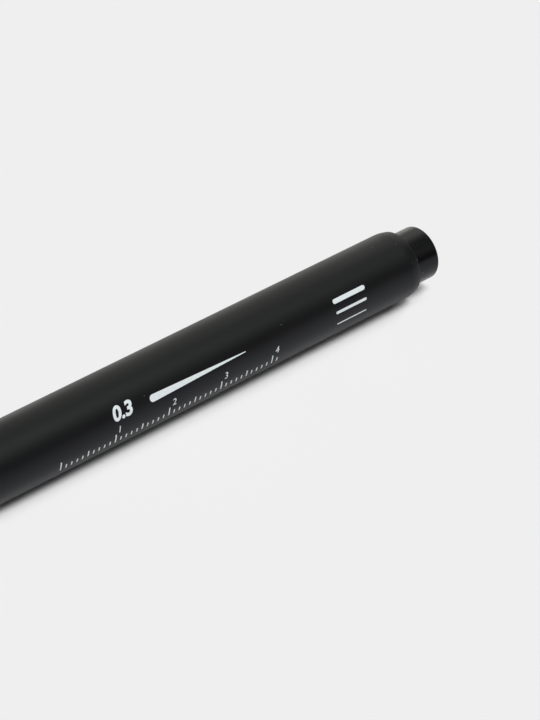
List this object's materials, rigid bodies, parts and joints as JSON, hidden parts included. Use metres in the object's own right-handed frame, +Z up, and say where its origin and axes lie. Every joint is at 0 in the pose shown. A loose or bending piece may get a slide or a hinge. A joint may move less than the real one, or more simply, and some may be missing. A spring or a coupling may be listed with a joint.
{
  "type": "fineliner pen",
  "caption": "Slim black capped fineliner: satin barrel with a rounded shoulder and a glossy tail post, pull-off cap with a sprung steel pocket clip, fibre nib in a steel sleeve.",
  "frame": {"origin": "on the pen's axis, in the plane of the barrel's stop face that the cap's mouth meets", "axes": "+X along the pen towards its tail, -X towards the nib and cap, +Z up; the pen lies on the plane z = -5.5 mm with the clip's lower edge on it, on the -Y side"},
  "size_m": [0.1383, 0.0126, 0.011],
  "materials": {
    "barrel_plastic": "satin black moulded plastic with white print",
    "plug_plastic": "glossy black",
    "reservoir_fibre": "ink-soaked bundled fibre",
    "reservoir_film": "clear wrapping film",
    "wick_fibre": "ink-soaked bonded fibre",
    "holder_plastic": "satin black",
    "sleeve_steel": "drawn stainless tube",
    "nib_fibre": "inked acrylic fibre",
    "cap_plastic": "satin black moulded plastic",
    "liner_plastic": "natural soft plastic",
    "crown_plastic": "glossy black",
    "clip_steel": "brushed stainless strip"
  },
  "bodies": {
    "pen": {"barrel": "barrel_plastic", "tail_plug": "plug_plastic", "reservoir_core": "reservoir_fibre", "reservoir_film": "reservoir_film", "feed_wick": "wick_fibre", "nib_holder": "holder_plastic", "nib_sleeve": "sleeve_steel", "nib": "nib_fibre"},
    "cap": {"cap_shell": "cap_plastic", "inner_cap": "liner_plastic", "cap_crown": "crown_plastic"},
    "clip": {"clip": "clip_steel"}
  },
  "joints": [
    {"name": "cap_pull", "type": "slide", "parent": "pen", "child": "cap", "axis": [-1, 0, 0], "range_m": [0, 0.045]},
    {"name": "clip_flex", "type": "hinge", "parent": "cap", "child": "clip", "pos_m": [-0.0391, -0.00376, -0.00229], "axis": [0, 0.5206, -0.8538], "range_deg": [0, 4], "stiffness_Nm_per_rad": 0.8, "springref_deg": -1.72}
  ]
}
